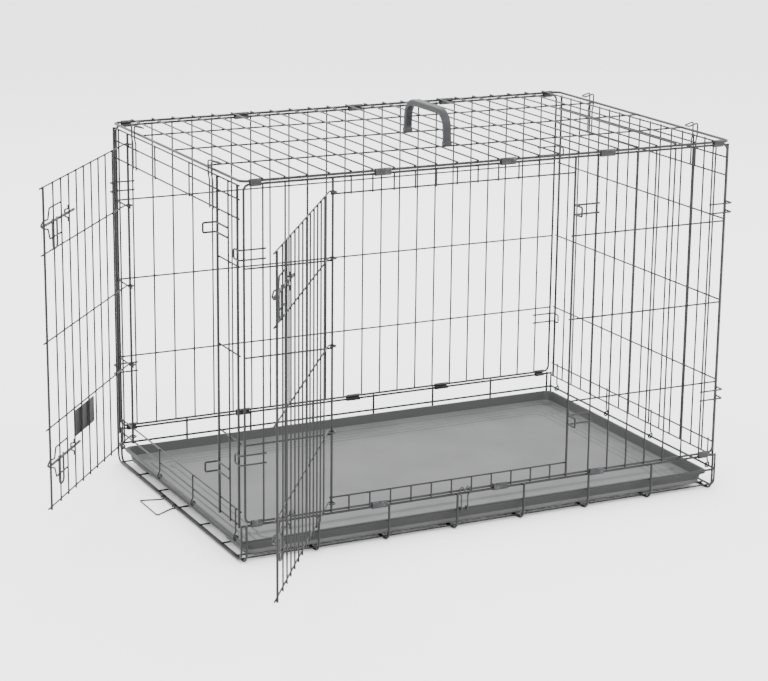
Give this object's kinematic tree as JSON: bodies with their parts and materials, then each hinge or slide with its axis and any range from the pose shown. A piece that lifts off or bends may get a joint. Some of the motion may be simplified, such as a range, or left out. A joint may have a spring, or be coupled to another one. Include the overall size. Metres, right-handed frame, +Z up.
{
  "type": "wire dog crate",
  "caption": "Folding wire dog crate with a long-side door, an end door, slide bolts, a lift-out tray, hinged ends and a carry handle.",
  "frame": {"origin": "on the ground under the middle of the crate", "axes": "+X along the crate to the end without a door, -Y to the side with the long door, +Z up"},
  "size_m": [1.1824, 0.9495, 0.692],
  "materials": {
    "wire": "satin",
    "bolt": "satin",
    "clip": "satin",
    "tray": "matt, moulded texture",
    "handle": "matt",
    "plate": "satin"
  },
  "bodies": {
    "crate_frame": {"floor_panel": "wire", "front_panel": "wire", "back_panel": "wire", "top_panel": "wire", "carry_handle": "handle", "front_bottom_clip_1": "clip", "front_bottom_clip_2": "clip", "front_bottom_clip_3": "clip", "front_bottom_clip_4": "clip", "front_bottom_clip_5": "clip", "back_bottom_clip_1": "clip", "back_bottom_clip_2": "clip", "back_bottom_clip_3": "clip", "back_bottom_clip_4": "clip", "back_bottom_clip_5": "clip", "front_top_clip_1": "clip", "front_top_clip_2": "clip", "front_top_clip_3": "clip", "front_top_clip_4": "clip", "front_top_clip_5": "clip", "back_top_clip_1": "clip", "back_top_clip_2": "clip", "back_top_clip_3": "clip", "back_top_clip_4": "clip", "back_top_clip_5": "clip"},
    "left_end": {"left_end_panel": "wire", "left_top_hook_1": "bolt", "left_top_hook_2": "bolt"},
    "right_end": {"right_end_panel": "wire", "right_top_hook_1": "bolt", "right_top_hook_2": "bolt"},
    "end_door": {"end_door": "wire", "id_plate": "plate"},
    "side_door": {"side_door": "wire"},
    "end_lower_bolt": {"end_door_lower_bolt": "bolt"},
    "end_upper_bolt": {"end_door_upper_bolt": "bolt"},
    "side_lower_bolt": {"side_door_lower_bolt": "bolt"},
    "side_upper_bolt": {"side_door_upper_bolt": "bolt"},
    "tray": {"tray": "tray"},
    "pan_stop": {"pan_stop": "wire"},
    "fold_lock": {"fold_lock": "bolt"}
  },
  "joints": [
    {"name": "side_door_swing", "type": "hinge", "parent": "crate_frame", "child": "side_door", "pos_m": [-0.29857, -0.292, 0.342], "axis": [0, 0, -1], "range_deg": [-125, 35]},
    {"name": "end_door_swing", "type": "hinge", "parent": "left_end", "child": "end_door", "pos_m": [-0.457, 0.211, 0.339], "axis": [0, 0, -1], "range_deg": [-39, 121]},
    {"name": "side_lower_bolt_slide", "type": "slide", "parent": "side_door", "child": "side_lower_bolt", "axis": [0.5736, 0.8192, 0], "range_m": [-0.025, 0]},
    {"name": "side_upper_bolt_slide", "type": "slide", "parent": "side_door", "child": "side_upper_bolt", "axis": [0.5736, 0.8192, 0], "range_m": [-0.025, 0]},
    {"name": "end_lower_bolt_slide", "type": "slide", "parent": "end_door", "child": "end_lower_bolt", "axis": [0.6293, 0.7771, 0], "range_m": [-0.025, 0]},
    {"name": "end_upper_bolt_slide", "type": "slide", "parent": "end_door", "child": "end_upper_bolt", "axis": [0.6293, 0.7771, 0], "range_m": [-0.025, 0]},
    {"name": "left_end_fold", "type": "hinge", "parent": "crate_frame", "child": "left_end", "pos_m": [-0.457, 0, 0.038], "axis": [0, -1, 0], "range_deg": [-14, 0], "deforming": ["left_top_hook_1", "left_top_hook_2"]},
    {"name": "right_end_fold", "type": "hinge", "parent": "crate_frame", "child": "right_end", "pos_m": [0.457, 0, 0.038], "axis": [0, -1, 0], "range_deg": [0, 85], "deforming": ["right_top_hook_1", "right_top_hook_2"]},
    {"name": "tray_slide", "type": "slide", "parent": "crate_frame", "child": "tray", "axis": [-1, 0, 0], "range_m": [0, 0.85]},
    {"name": "pan_stop_turn", "type": "hinge", "parent": "crate_frame", "child": "pan_stop", "pos_m": [-0.457, 0, 0.0047], "axis": [0, -1, 0], "range_deg": [-80, 0]},
    {"name": "fold_lock_turn", "type": "hinge", "parent": "crate_frame", "child": "fold_lock", "pos_m": [-0.05085, -0.2889, 0.037], "axis": [1, 0, 0], "range_deg": [0, 110]}
  ]
}
